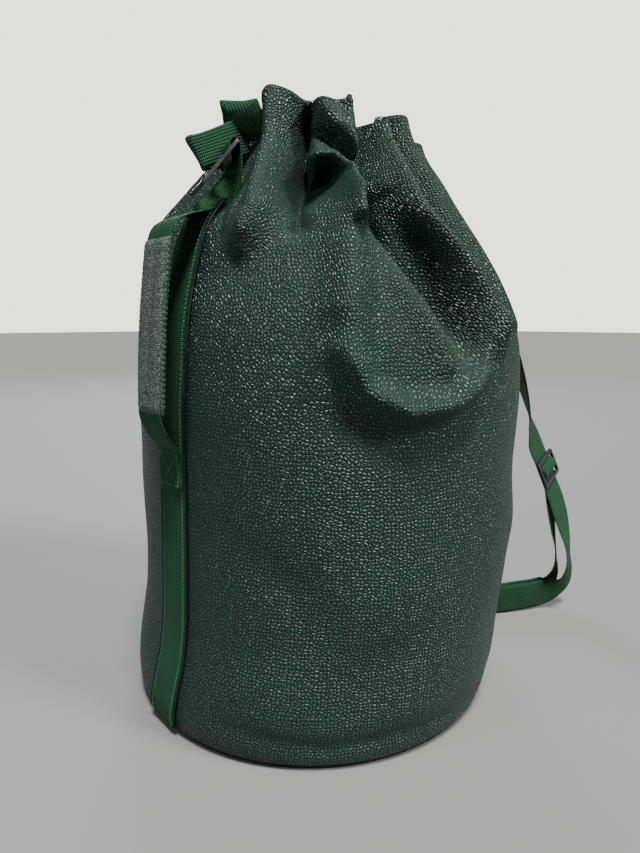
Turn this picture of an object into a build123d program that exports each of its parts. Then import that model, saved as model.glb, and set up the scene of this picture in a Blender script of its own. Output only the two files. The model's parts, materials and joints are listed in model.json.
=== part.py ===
from build123d import *
import os
from math import cos, radians, sin

# Ski boot bag: a drawstring duffel of two leather panels on a round base, with a webbing
# down each side seam, a padded carry handle on one seam and an adjustable shoulder strap
# on the other.  Millimetres.  +Z is up and the origin is the middle of the base, on the
# surface that the bag stands on.  The handle seam is on -X, the strap seam on +X, and the
# front panel faces -Y.

os.makedirs("parts", exist_ok=True)

# ---------------------------------------------------------------- driving dimensions
# Outside of the leather: height, half width across the side seams, half depth.
BODY_SECTIONS = [
    (0, 184, 184),
    (10, 187, 187),
    (110, 181, 197),
    (220, 177, 203),
    (320, 177, 201),
    (370, 172, 188),
    (410, 161, 171),
    (450, 145, 149),
    (490, 111, 120),
    (520, 89, 95),
    (540, 84, 84),
    (585, 82, 82),
]
LEATHER = 2.0
WEBBING = 38.0
WEBBING_THICK = 1.6
CORD_WEBBING = 30.0
GAP = 0.4

TOP = 585.0
SEAM_GAP = 1.2
BASE_R = 181.0
BOARD_R = 178.0
BOARD_THICK = 3.0
WELT_R = 2.2

HEM_LOW = 545.0
HEM_DEPTH = 9.0
MOUTH_R = 82.0

HANDLE_FOOT = (-192.5, 276.0)
HANDLE_HEAD = (-165.0, 452.0)
GRIP_LOW = (-198.5, 291.0)
GRIP_HIGH = (-182.5, 438.0)
GRIP_WIDTH = 40.0
GRIP_THICK = 9.0
GRIP_LEATHER = 2.2

SLIDE_TOP = (-119.0, -14.0, 512.0)
SLIDE_LENGTH = 50.0
SLIDE_WIDTH = 48.0
SLIDE_THICK = 3.0
SLIDE_BAR = 6.0
SLIDE_TURN = 20.0
SLIDE_LEAN = 50.0

STRAP_BASE = (203.0, 0.0, 23.0)
STRAP_TOP = (117.0, 0.0, 508.0)
STRAP_TURN = -55.0
GLIDE_HEIGHT = 156.0
GLIDE_LENGTH = 33.0
GLIDE_WIDTH = 48.0
GLIDE_THICK = 3.0
RING_BAR = 4.0
RING_REACH = 17.0
RING_CLEAR = 20.0


# ---------------------------------------------------------------- helpers
def half_width(z):
    """Half width of the leather across the side seams at height z."""
    for (z0, a0, _), (z1, a1, _) in zip(BODY_SECTIONS, BODY_SECTIONS[1:]):
        if z0 <= z <= z1:
            return a0 + (a1 - a0) * (z - z0) / (z1 - z0)
    return BODY_SECTIONS[-1][1]


def seam_line(z_low, z_high, stand_off):
    """Points (x, z) that follow the side seam at a distance outside the leather."""
    heights = [z_low] + [z for z, _, _ in BODY_SECTIONS if z_low < z < z_high] + [z_high]
    steepest = max(
        abs(half_width(z1) - half_width(z0)) / (z1 - z0) for z0, z1 in zip(heights, heights[1:])
    )
    points = []
    for z in heights:
        slope = abs(half_width(min(z + 2, TOP)) - half_width(max(z - 2, 0))) / 4
        stretch = (1 + min(slope, steepest) ** 2) ** 0.5
        points.append((half_width(z) + stand_off * stretch, z))
    return points


def strip(plane, points, width, thick, radius=0.0, centre=0.0):
    """A flat band of webbing: its long edge follows points in the plane."""
    with BuildPart() as band:
        with BuildSketch(plane.offset(centre)):
            with BuildLine() as edge:
                if radius:
                    FilletPolyline(*points, radius=radius)
                else:
                    Polyline(*points)
            trace(lines=edge.edges(), line_width=thick)
        extrude(amount=width / 2, both=True)
    return band


def body_loft(inset, z_low, z_high):
    """The space inside the leather's outer face, pulled in by inset."""
    with BuildPart() as space:
        for z, a, b in BODY_SECTIONS:
            with BuildSketch(Plane.XY.offset(z)):
                Ellipse(a - inset, b - inset)
        loft(ruled=True)
        with BuildSketch(Plane.XY.offset(z_low)):
            Circle(2 * MOUTH_R + BASE_R)
        extrude(amount=z_high - z_low, mode=Mode.INTERSECT)
    return space.part


def finish(builder, label):
    """Name the piece and write its file."""
    builder.part.label = label
    export_step(builder.part, f"parts/{label}.step")


def frame_sketch(length, width, bar, bars):
    """A rectangular buckle outline with slots between its cross bars."""
    slot = (length - bars * bar) / (bars - 1)
    with BuildSketch() as outline:
        RectangleRounded(length, width, 4)
        for i in range(bars - 1):
            with Locations((-length / 2 + bar + slot / 2 + i * (slot + bar), 0)):
                Rectangle(slot, width - 8, mode=Mode.SUBTRACT)
    return outline.sketch


# ---------------------------------------------------------------- leather panels
outer_space = body_loft(0, 0, TOP)
inner_space = body_loft(LEATHER, 0, TOP)

for label, side in (("front_panel", -1), ("back_panel", 1)):
    with BuildPart() as panel:
        add(outer_space)
        add(inner_space, mode=Mode.SUBTRACT)
        with BuildSketch(Plane.XZ.offset(-side * SEAM_GAP / 2)):
            with Locations((0, TOP / 2)):
                Rectangle(3 * BASE_R, 2 * TOP)
        extrude(amount=-side * 3 * BASE_R, mode=Mode.INTERSECT)
    finish(panel, label)

# ---------------------------------------------------------------- hem channel at the mouth
# The top edge of each panel is folded in and sewn down as a channel for the drawstring.
HEM_WALL = 1.8
for label, side in (("front_hem", -1), ("back_hem", 1)):
    with BuildPart() as hem:
        with BuildSketch(Plane.XZ):
            with BuildLine():
                Polyline(
                    (MOUTH_R - HEM_DEPTH - HEM_WALL, HEM_LOW),
                    (MOUTH_R - LEATHER - GAP, HEM_LOW),
                    (MOUTH_R - LEATHER - GAP, HEM_LOW + HEM_WALL),
                    (MOUTH_R - HEM_DEPTH, HEM_LOW + HEM_WALL),
                    (MOUTH_R - HEM_DEPTH, TOP - HEM_WALL),
                    (MOUTH_R - LEATHER - GAP, TOP - HEM_WALL),
                    (MOUTH_R - LEATHER - GAP, TOP),
                    (MOUTH_R - HEM_DEPTH - HEM_WALL, TOP),
                    close=True,
                )
            make_face()
        revolve(axis=Axis.Z)
        with BuildSketch(Plane.XZ.offset(-side * SEAM_GAP / 2)):
            with Locations((0, TOP / 2)):
                Rectangle(3 * BASE_R, 2 * TOP)
        extrude(amount=-side * 3 * BASE_R, mode=Mode.INTERSECT)
    finish(hem, label)

# ---------------------------------------------------------------- base
with BuildPart() as base_panel:
    with BuildSketch():
        Circle(BASE_R)
    extrude(amount=LEATHER)
finish(base_panel, "base_panel")

with BuildPart() as base_board:
    with BuildSketch(Plane.XY.offset(LEATHER)):
        Circle(BOARD_R)
    extrude(amount=BOARD_THICK)
finish(base_board, "base_board")

# The welt is the piping sewn round the bottom edge.
with BuildPart() as base_welt:
    with BuildSketch(Plane.XZ):
        with Locations((BODY_SECTIONS[1][1] + WELT_R + 0.2, 5)):
            Circle(WELT_R)
    revolve(axis=Axis.Z)
finish(base_welt, "base_welt")

# ---------------------------------------------------------------- drawstring in the channel
DRAW_OPENING = 26.0
with BuildPart() as mouth_drawstring:
    draw_plane = Plane(
        origin=(0, 0, 0),
        x_dir=(-cos(radians(DRAW_OPENING / 2)), -sin(radians(DRAW_OPENING / 2)), 0),
        z_dir=(-sin(radians(DRAW_OPENING / 2)), cos(radians(DRAW_OPENING / 2)), 0),
    )
    with BuildSketch(draw_plane):
        with Locations((MOUTH_R - LEATHER - GAP - 3, (TOP + HEM_LOW) / 2)):
            Rectangle(WEBBING_THICK, CORD_WEBBING)
    revolve(axis=Axis.Z, revolution_arc=360 - DRAW_OPENING)
finish(mouth_drawstring, "mouth_drawstring")

# ---------------------------------------------------------------- webbing down the side seams
SEAM_STAND = GAP + WEBBING_THICK / 2
SEAM_LOW = 10.0
TAB_LEAVES = 470.0
tab_points = [(-x, z) for x, z in seam_line(SEAM_LOW, TAB_LEAVES, SEAM_STAND)]
finish(strip(Plane.XZ, tab_points, WEBBING, WEBBING_THICK), "handle_side_webbing")
strap_side = seam_line(SEAM_LOW, 530, SEAM_STAND)
finish(strip(Plane.XZ, strap_side, WEBBING, WEBBING_THICK), "strap_side_webbing")

# Narrow seam tapes inside the bag close the joint between the two panels.
for label, side in (("handle_side_seam_tape", -1), ("strap_side_seam_tape", 1)):
    tape = [(side * x, z) for x, z in seam_line(SEAM_LOW, 535, -LEATHER - GAP - 0.6)]
    finish(strip(Plane.XZ, tape, 16, 1.0), label)

# ---------------------------------------------------------------- carry handle
# The webbing stands off the seam and is wrapped in padded leather for the hand.
handle_path = [HANDLE_FOOT, GRIP_LOW, GRIP_HIGH, HANDLE_HEAD]
handle_webbing = strip(Plane.XZ, handle_path, WEBBING, WEBBING_THICK, radius=8)
finish(handle_webbing, "handle_webbing")

with BuildPart() as handle_grip:
    grip_centre = ((GRIP_LOW[0] + GRIP_HIGH[0]) / 2, (GRIP_LOW[1] + GRIP_HIGH[1]) / 2)
    grip_run = Vector(GRIP_HIGH[0] - GRIP_LOW[0], 0, GRIP_HIGH[1] - GRIP_LOW[1])
    grip_plane = Plane(
        origin=(grip_centre[0], 0, grip_centre[1]), x_dir=(0, 1, 0), z_dir=grip_run.normalized()
    )
    with BuildSketch(grip_plane):
        RectangleRounded(GRIP_WIDTH + 2 * GRIP_LEATHER, GRIP_THICK, GRIP_THICK / 2 - 0.2)
        Rectangle(WEBBING + 2 * 0.3, WEBBING_THICK + 2 * 0.3, mode=Mode.SUBTRACT)
    extrude(amount=grip_run.length / 2 - 9, both=True)
finish(handle_grip, "handle_grip")

# The two ends of the handle are sewn flat on the seam webbing.
END_STAND = SEAM_STAND + WEBBING_THICK + GAP
lower_end = [(-x, z) for x, z in seam_line(228, 262, END_STAND)]
lower_end.append((HANDLE_FOOT[0] + 0.6, HANDLE_FOOT[1] - 1.6))
finish(strip(Plane.XZ, lower_end, WEBBING, WEBBING_THICK), "handle_lower_end")
upper_end = [(-x, z) for x, z in seam_line(461, 468, END_STAND)]
upper_end.insert(0, (HANDLE_HEAD[0] + 1.2, HANDLE_HEAD[1] + 1.6))
finish(strip(Plane.XZ, upper_end, WEBBING, WEBBING_THICK), "handle_upper_end")

# ---------------------------------------------------------------- closure slide and its tab
slide_bar_dir = Vector(sin(radians(SLIDE_TURN)), cos(radians(SLIDE_TURN)), 0)
slide_out = Vector(-cos(radians(SLIDE_TURN)), sin(radians(SLIDE_TURN)), 0)
slide_run = slide_out * -cos(radians(SLIDE_LEAN)) + Vector(0, 0, sin(radians(SLIDE_LEAN)))
slide_centre = Vector(*SLIDE_TOP) - slide_run * (SLIDE_LENGTH / 2 - SLIDE_BAR / 2)
slide_plane = Plane(origin=slide_centre, x_dir=slide_run, z_dir=slide_run.cross(slide_bar_dir))
with BuildPart() as closure_slide:
    with BuildSketch(slide_plane):
        add(frame_sketch(SLIDE_LENGTH, SLIDE_WIDTH, SLIDE_BAR, 3))
    extrude(amount=SLIDE_THICK / 2, both=True)
    fillet(closure_slide.edges().filter_by(GeomType.CIRCLE), radius=0.6)
finish(closure_slide, "closure_slide")

# The tab is the free top end of the seam webbing, folded over the slide's top bar.
tab_plane = Plane(origin=SLIDE_TOP, x_dir=slide_out, z_dir=slide_bar_dir)
TAB_CLEAR = SLIDE_BAR / 2 + WEBBING_THICK / 2 + 0.6
with BuildPart() as slide_tab:
    with BuildSketch(tab_plane):
        with BuildLine() as tab_edge:
            FilletPolyline(
                (14, -36),
                (3, -24),
                (-TAB_CLEAR, -9),
                (-TAB_CLEAR, TAB_CLEAR),
                (TAB_CLEAR, TAB_CLEAR),
                (TAB_CLEAR, -9),
                radius=3.5,
            )
        trace(lines=tab_edge.edges(), line_width=WEBBING_THICK)
    extrude(amount=(SLIDE_WIDTH - 12) / 2, both=True)
finish(slide_tab, "slide_tab")

# ---------------------------------------------------------------- drawstring pull loops
upper_loop = [(-84.5, 566), (-98, 574), (-114, 562), (-115, 543), (-96, 536)]
finish(
    strip(Plane.XZ, upper_loop, CORD_WEBBING, WEBBING_THICK, radius=6, centre=-2),
    "drawstring_upper_loop",
)
lower_loop = [(-96, 529), (-114, 532), (-141, 526), (-141, 510), (-133, 506)]
finish(
    strip(Plane.XZ, lower_loop, CORD_WEBBING, WEBBING_THICK, radius=6, centre=-16),
    "drawstring_lower_loop",
)

# ---------------------------------------------------------------- shoulder strap
# The strap hangs in a plane through its two anchors; h runs up from the base anchor along
# the line to the top anchor and r runs outwards from that line.
strap_axis = (Vector(*STRAP_TOP) - Vector(*STRAP_BASE)).normalized()
strap_span = (Vector(*STRAP_TOP) - Vector(*STRAP_BASE)).length
level = Vector(0, 1, 0)
outward = level.cross(strap_axis)
turn = radians(STRAP_TURN)
strap_out = outward * cos(turn) + level * sin(turn)
strap_plane = Plane(origin=STRAP_BASE, x_dir=strap_out, z_dir=strap_out.cross(strap_axis))
STRAIGHT_TOP = (134, 222)
STRAIGHT_LOW = (169, 108)
CORNER = 178

# On the table both runs stand on edge and bow forward before they reach the ring.
table_tilt = 0.093
table_out = (strap_out - strap_axis * table_tilt).normalized()
table_up = (strap_axis + strap_out * table_tilt).normalized()
table_plane = Plane(
    origin=Vector(*STRAP_BASE) + strap_axis * table_tilt * RING_REACH, x_dir=table_out, z_dir=table_up
)


def strap_run(upright, lying, lift):
    """One run of the strap: an upright band, a band lying on edge, and the corner between."""
    with BuildPart() as run:
        add(strip(strap_plane, upright, WEBBING, WEBBING_THICK, radius=5).part)
        add(strip(table_plane, lying, WEBBING, WEBBING_THICK, radius=3).part)
        with BuildSketch(strap_plane.offset(-lying[0][1])):
            with Locations((upright[-1][0], upright[-1][1] - lift / 2 + 2)):
                Rectangle(WEBBING_THICK, lift + 4)
        extrude(amount=1.2, both=True)
    return run


outer_upright = [
    (27, strap_span - 28),
    (66, strap_span - 70),
    (112, strap_span - 140),
    STRAIGHT_TOP,
    STRAIGHT_LOW,
    (175, 55),
    (CORNER, -6),
]
outer_lying = [
    (CORNER, 0),
    (150, -4),
    (112, -30),
    (76, -42),
    (42, -35),
    (23, -8),
    (RING_REACH - 5.8, -4),
    (RING_REACH - 5.8, 4),
    (RING_REACH + 3, 4),
]
finish(strap_run(outer_upright, outer_lying, 8), "strap_webbing")

return_upright = [(STRAIGHT_LOW[0] - 14, 96), (164, 70), (CORNER - 16, 6)]
return_lying = [(CORNER - 16, 3), (146, 3), (110, -20), (76, -34), (46, -27), (RING_REACH + 7, 2.4)]
finish(strap_run(return_upright, return_lying, 14), "strap_return_run")

# Rectangular ring on the base tab: the strap turns round its outer bar.
with BuildPart() as strap_ring:
    with BuildSketch(strap_plane):
        with Locations((RING_REACH / 2, 0)):
            RectangleRounded(RING_REACH + RING_BAR, 2 * RING_CLEAR + RING_BAR, RING_BAR / 2 - 0.1)
            Rectangle(RING_REACH - RING_BAR, 2 * RING_CLEAR, mode=Mode.SUBTRACT)
    extrude(amount=RING_BAR / 2 - 0.3, both=True)
finish(strap_ring, "strap_ring")

# ---------------------------------------------------------------- strap adjuster
straight = Vector(STRAIGHT_TOP[0] - STRAIGHT_LOW[0], STRAIGHT_TOP[1] - STRAIGHT_LOW[1])
glide_t = (GLIDE_HEIGHT - STRAIGHT_LOW[1]) / straight.Y
glide_r = STRAIGHT_LOW[0] + straight.X * glide_t
run_dir = (strap_out * straight.X + strap_axis * straight.Y).normalized()
run_side = strap_plane.z_dir.cross(run_dir)
run_centre = Vector(*STRAP_BASE) + strap_out * glide_r + strap_axis * GLIDE_HEIGHT
glide_lift = WEBBING_THICK / 2 + GAP + GLIDE_THICK / 2
if run_side.dot(strap_out) < 0:
    run_side = run_side * -1
glide_plane = Plane(origin=run_centre + run_side * glide_lift, x_dir=run_dir, z_dir=run_side)
with BuildPart() as tri_glide:
    with BuildSketch(glide_plane):
        add(frame_sketch(GLIDE_LENGTH, GLIDE_WIDTH, 4.5, 3))
    extrude(amount=GLIDE_THICK / 2, both=True)
    fillet(tri_glide.edges().filter_by(GeomType.CIRCLE), radius=0.6)
finish(tri_glide, "tri_glide")

# The strap's sewn end is folded round the centre bar of the adjuster.
loop_plane = Plane(origin=glide_plane.origin, x_dir=run_dir, z_dir=strap_plane.z_dir)
loop_side = 1 if loop_plane.y_dir.dot(run_side) > 0 else -1
LOOP_HALF = 4.5 / 2 + 1.6
LOOP_TALL = GLIDE_THICK / 2 + 1.5
with BuildPart() as strap_end_loop:
    with BuildSketch(loop_plane):
        with BuildLine() as loop_edge:
            FilletPolyline(
                (-LOOP_HALF - 20, loop_side * LOOP_TALL),
                (LOOP_HALF, loop_side * LOOP_TALL),
                (LOOP_HALF, loop_side * -0.4),
                radius=1.5,
            )
        trace(lines=loop_edge.edges(), line_width=WEBBING_THICK)
    extrude(amount=(GLIDE_WIDTH - 10) / 2, both=True)
finish(strap_end_loop, "strap_end_loop")

# ---------------------------------------------------------------- strap anchors on the bag
# A folded tab of webbing sewn to the foot of the seam holds the ring.
tab_ring_plane = Plane(origin=STRAP_BASE, x_dir=outward, z_dir=strap_axis)
TAB_U = RING_BAR / 2 + WEBBING_THICK / 2 + 1.0
with BuildPart() as strap_base_tab:
    add(strip(Plane.XZ, seam_line(SEAM_LOW + 1, 48, END_STAND), WEBBING, WEBBING_THICK).part)
    with BuildSketch(tab_ring_plane):
        with BuildLine() as tab_u_edge:
            FilletPolyline((-9, -TAB_U), (TAB_U, -TAB_U), (TAB_U, TAB_U), (-9, TAB_U), radius=3.3)
        trace(lines=tab_u_edge.edges(), line_width=WEBBING_THICK)
        with Locations((-9.6, 0)):
            Rectangle(2.6, 2 * TAB_U + WEBBING_THICK)
    extrude(amount=WEBBING / 2 - 0.6, both=True)
finish(strap_base_tab, "strap_base_tab")

top_patch = seam_line(STRAP_TOP[2] - 2, 536, END_STAND)
top_patch.insert(0, (top_patch[0][0] + 12, STRAP_TOP[2] - 18))
finish(strip(Plane.XZ, top_patch, WEBBING, WEBBING_THICK), "strap_top_end")
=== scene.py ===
import json
from math import cos, pi, radians, sin

import bpy
import numpy as np
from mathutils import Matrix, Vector


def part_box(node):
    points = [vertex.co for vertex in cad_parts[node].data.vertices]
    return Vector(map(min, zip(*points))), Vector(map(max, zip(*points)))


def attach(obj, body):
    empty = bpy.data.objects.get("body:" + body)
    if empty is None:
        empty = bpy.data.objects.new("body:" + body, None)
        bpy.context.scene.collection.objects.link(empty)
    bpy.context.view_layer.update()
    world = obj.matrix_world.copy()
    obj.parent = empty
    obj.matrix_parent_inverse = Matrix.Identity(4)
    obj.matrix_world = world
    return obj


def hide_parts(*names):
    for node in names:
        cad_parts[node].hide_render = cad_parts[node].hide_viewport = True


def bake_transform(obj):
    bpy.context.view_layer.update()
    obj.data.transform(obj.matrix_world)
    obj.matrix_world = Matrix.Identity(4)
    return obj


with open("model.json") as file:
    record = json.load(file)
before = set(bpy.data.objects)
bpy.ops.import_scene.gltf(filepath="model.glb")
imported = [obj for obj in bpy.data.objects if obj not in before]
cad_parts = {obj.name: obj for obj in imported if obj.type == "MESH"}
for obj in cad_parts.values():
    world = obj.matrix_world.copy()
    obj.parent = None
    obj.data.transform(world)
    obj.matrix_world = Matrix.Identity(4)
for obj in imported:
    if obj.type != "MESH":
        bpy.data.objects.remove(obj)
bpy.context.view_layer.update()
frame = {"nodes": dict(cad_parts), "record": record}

# Ski boot bag: the looks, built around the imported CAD.  Metres, in the CAD's own frame:
# +Z up, the origin in the middle of the base, the handle seam on -X, the strap seam on +X
# and the front panel on -Y.  A bearing on the bag is 0 at the handle seam, 90 in the middle
# of the front panel and 180 at the strap seam.

MM = 0.001
JOINTS = {j["name"]: j for j in frame["record"]["behaviour"]["joints"]}

LEATHER = 2.0 * MM
WEBBING = 38.0 * MM
WEBBING_THICK = 1.6 * MM
LOOP_WEBBING = 30.0 * MM


# ---------------------------------------------------------------- camera, stage and lights
CAMERA_PLACE = Vector((-0.423, -0.451, 0.370))
CAMERA_LOOK = Vector((0.671, 0.720, -0.176))
CAMERA_LENS = 24.9
SENSOR_WIDTH = 36

FLOOR_SIZE = 40
FLOOR_COLOUR = (0.155, 0.158, 0.16)
WALL_COLOUR, WALL_STRENGTH = (0.93, 0.92, 0.89), 2.6
ROOM_COLOUR, ROOM_STRENGTH = (0.93, 0.94, 0.95), 0.045
WARM, COOL = (1.0, 0.98, 0.95), (0.95, 0.98, 1.0)
LIT_POINT = (0, 0, 0.3)


def make_camera():
    data = bpy.data.cameras.new("camera")
    data.lens = CAMERA_LENS
    data.sensor_width = SENSOR_WIDTH
    data.clip_start = 0.01
    camera = bpy.data.objects.new("camera", data)
    camera.location = CAMERA_PLACE
    camera.rotation_euler = CAMERA_LOOK.to_track_quat("-Z", "Y").to_euler()
    bpy.context.collection.objects.link(camera)
    bpy.context.scene.camera = camera


def area_light(name, place, size, power, colour):
    """A round lamp at place, turned to the middle of the bag."""
    data = bpy.data.lights.new(name, "AREA")
    data.shape = "DISK"
    data.size = size
    data.energy = power
    data.color = colour
    light = bpy.data.objects.new(name, data)
    light.location = place
    light.rotation_euler = (Vector(LIT_POINT) - Vector(place)).to_track_quat("-Z", "Y").to_euler()
    bpy.context.collection.objects.link(light)


def soft_sun(name, direction, strength, spread, colour):
    """Even light from one direction, which does not fade across the floor."""
    data = bpy.data.lights.new(name, "SUN")
    data.energy = strength
    data.angle = radians(spread)
    data.color = colour
    light = bpy.data.objects.new(name, data)
    light.rotation_euler = Vector(direction).to_track_quat("Z", "Y").to_euler()
    bpy.context.collection.objects.link(light)


def make_stage():
    """The floor, a wall that only the camera sees in full strength, and the lights."""
    bpy.ops.mesh.primitive_plane_add(size=FLOOR_SIZE, location=(0, 0, 0))
    floor = bpy.context.object
    floor.name = "floor"
    material = bpy.data.materials.new("pale_floor")
    material.use_nodes = True
    shader = material.node_tree.nodes["Principled BSDF"]
    shader.inputs["Roughness"].default_value = 0.75
    shader.inputs["Base Color"].default_value = (*FLOOR_COLOUR, 1)
    floor.data.materials.append(material)
    world = bpy.data.worlds.new("studio")
    world.use_nodes = True
    nodes, links = world.node_tree.nodes, world.node_tree.links
    room = nodes["Background"]
    room.inputs["Color"].default_value = (*ROOM_COLOUR, 1)
    room.inputs["Strength"].default_value = ROOM_STRENGTH
    wall = nodes.new("ShaderNodeBackground")
    wall.inputs["Color"].default_value = (*WALL_COLOUR, 1)
    wall.inputs["Strength"].default_value = WALL_STRENGTH
    either = nodes.new("ShaderNodeMixShader")
    links.new(nodes.new("ShaderNodeLightPath").outputs["Is Camera Ray"], either.inputs["Fac"])
    links.new(room.outputs[0], either.inputs[1])
    links.new(wall.outputs[0], either.inputs[2])
    links.new(either.outputs[0], nodes["World Output"].inputs["Surface"])
    bpy.context.scene.world = world
    soft_sun("overhead", (-0.4, -0.8, 2.8), 6.6, 14, WARM)
    soft_sun("key", (1.1, -2.6, 2.0), 4.0, 14, WARM)
    soft_sun("sky", (0.15, -0.2, 1.0), 0.55, 50, COOL)
    area_light("side", (-2.7, 0.5, 1.5), 1.0, 30, COOL)
    area_light("back", (1.6, 2.6, 1.8), 1.2, 60, COOL)


# ---------------------------------------------------------------- materials
# A Mix node keeps one pair of sockets for each kind of value.
VECTOR_A, VECTOR_B, VECTOR_OUT = 4, 5, 1
COLOUR_A, COLOUR_B, COLOUR_OUT = 6, 7, 2


def grey(value):
    return (value, value, value)


def shade(colour, factor):
    return tuple(c * factor for c in colour)


def new_material(name):
    material = bpy.data.materials.new(name)
    material.use_nodes = True
    return material, material.node_tree.nodes, material.node_tree.links


def set_shader(nodes, roughness, specular, sheen=0.0):
    shader = nodes["Principled BSDF"]
    shader.inputs["Roughness"].default_value = roughness
    shader.inputs["Specular IOR Level"].default_value = specular
    shader.inputs["Sheen Weight"].default_value = sheen
    return shader


def ramp(nodes, links, source, stops):
    """A colour ramp through (position, colour) stops."""
    node = nodes.new("ShaderNodeValToRGB")
    node.color_ramp.elements[0].position = stops[0][0]
    node.color_ramp.elements[0].color = (*stops[0][1], 1)
    node.color_ramp.elements[1].position = stops[-1][0]
    node.color_ramp.elements[1].color = (*stops[-1][1], 1)
    for place, colour in stops[1:-1]:
        node.color_ramp.elements.new(place).color = (*colour, 1)
    links.new(source, node.inputs["Fac"])
    return node.outputs["Color"]


def noise(nodes, links, vector, scale, detail):
    node = nodes.new("ShaderNodeTexNoise")
    node.inputs["Scale"].default_value = scale
    node.inputs["Detail"].default_value = detail
    links.new(vector, node.inputs["Vector"])
    return node.outputs["Fac"]


def bump(nodes, links, height, distance, strength, normal=None):
    node = nodes.new("ShaderNodeBump")
    node.inputs["Distance"].default_value = distance
    node.inputs["Strength"].default_value = strength
    links.new(height, node.inputs["Height"])
    if normal is not None:
        links.new(normal, node.inputs["Normal"])
    return node.outputs["Normal"]


def leather(name, top, crease_shade, pebble, depth, roughness, flat_pattern=False):
    """Pebbled leather: rounded grains about one pebble across, with painted shade darkening the
    creases between them.  With flat_pattern the grain lies in the mesh's own UV, in metres, as it
    does on a cut panel."""
    material, nodes, links = new_material(name)
    shader = set_shader(nodes, roughness, specular=0.38)
    where = nodes.new("ShaderNodeTexCoord").outputs["UV" if flat_pattern else "Object"]
    wander = nodes.new("ShaderNodeTexNoise")
    wander.inputs["Scale"].default_value = 0.3 / pebble
    links.new(where, wander.inputs["Vector"])
    shifted = nodes.new("ShaderNodeMix")
    shifted.data_type = "VECTOR"
    shifted.inputs["Factor"].default_value = 0.003
    links.new(where, shifted.inputs[VECTOR_A])
    links.new(wander.outputs["Color"], shifted.inputs[VECTOR_B])
    edge = nodes.new("ShaderNodeTexVoronoi")
    edge.voronoi_dimensions = "2D" if flat_pattern else "3D"
    edge.feature = "DISTANCE_TO_EDGE"
    edge.inputs["Scale"].default_value = 1 / pebble
    edge.inputs["Randomness"].default_value = 0.8
    links.new(shifted.outputs[VECTOR_OUT], edge.inputs["Vector"])
    dome = nodes.new("ShaderNodeMapRange")
    dome.interpolation_type = "SMOOTHERSTEP"
    dome.inputs["From Max"].default_value = 0.46
    dome.inputs["From Min"].default_value = -0.06
    links.new(edge.outputs["Distance"], dome.inputs["Value"])
    crease = ramp(nodes, links, edge.outputs["Distance"], [(0.04, grey(0)), (0.30, grey(1))])
    fine = noise(nodes, links, where, 2.2 / pebble, 3)
    fine_normal = bump(nodes, links, fine, 0.00004, 0.3)
    links.new(bump(nodes, links, dome.outputs[0], depth, 1.0, fine_normal), shader.inputs["Normal"])
    patch = noise(nodes, links, where, 9, 4)
    tone = ramp(nodes, links, patch, [(0.3, shade(top, 0.8)), (0.7, shade(top, 1.2))])
    # The creases take the far darker crease colour: painted shade between the grains.
    mix = nodes.new("ShaderNodeMix")
    mix.data_type = "RGBA"
    links.new(crease, mix.inputs["Factor"])
    mix.inputs[COLOUR_A].default_value = (*crease_shade, 1)
    links.new(tone, mix.inputs[COLOUR_B])
    links.new(mix.outputs[COLOUR_OUT], shader.inputs["Base Color"])
    gloss = ramp(nodes, links, crease, [(0.0, grey(0.75)), (0.9, grey(roughness))])
    links.new(gloss, shader.inputs["Roughness"])
    return material


def suede(name, colour):
    """The rough inside of the leather."""
    material, nodes, links = new_material(name)
    shader = set_shader(nodes, 0.9, specular=0.2, sheen=0.15)
    where = nodes.new("ShaderNodeTexCoord").outputs["Object"]
    nap = noise(nodes, links, where, 900, 5)
    tone = ramp(nodes, links, nap, [(0.3, shade(colour, 0.6)), (0.7, colour)])
    links.new(tone, shader.inputs["Base Color"])
    links.new(bump(nodes, links, nap, 0.0004, 0.6), shader.inputs["Normal"])
    return material


def woven(name, dark, light, rib, pick):
    """Webbing: ribs across the band, each crossed by the warp, with painted shade darkening the
    hollows between them.  U runs along the band and V across it, both in metres."""
    material, nodes, links = new_material(name)
    shader = set_shader(nodes, 0.75, specular=0.15, sheen=0.03)

    def calc(operation, *values):
        node = nodes.new("ShaderNodeMath")
        node.operation = operation
        for slot, value in enumerate(values):
            if isinstance(value, (int, float)):
                node.inputs[slot].default_value = value
            else:
                links.new(value, node.inputs[slot])
        return node.outputs[0]

    uv = nodes.new("ShaderNodeTexCoord").outputs["UV"]
    split = nodes.new("ShaderNodeSeparateXYZ")
    links.new(uv, split.inputs[0])
    along = calc("MULTIPLY", split.outputs["X"], 2 * pi / rib)
    across = calc("MULTIPLY", split.outputs["Y"], 2 * pi / pick)
    half = calc("MULTIPLY", across, 0.5)
    step = calc("SIGN", calc("SINE", half))
    half_rib = calc("MULTIPLY", step, pi / 2)
    shifted = calc("ADD", along, half_rib)
    wave = calc("ABSOLUTE", calc("SINE", shifted))
    warp = calc("ABSOLUTE", calc("SINE", half))
    height = calc("MULTIPLY", wave, warp)
    where = nodes.new("ShaderNodeTexCoord").outputs["Object"]
    fuzz = noise(nodes, links, where, 1400, 3)
    patch = noise(nodes, links, where, 35, 3)
    uneven = calc("MULTIPLY", patch, 0.35)
    hollow_shade_and_patches = calc("ADD", height, uneven)
    # Painted shade: the colour darkens down in the hollows between the ribs, with random uneven
    # patches on top.
    tone = ramp(nodes, links, hollow_shade_and_patches, [(0.2, dark), (0.95, light)])
    links.new(tone, shader.inputs["Base Color"])
    fuzz_normal = bump(nodes, links, fuzz, 0.00015, 0.5)
    links.new(bump(nodes, links, height, 0.0012, 1.0, fuzz_normal), shader.inputs["Normal"])
    return material


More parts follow.
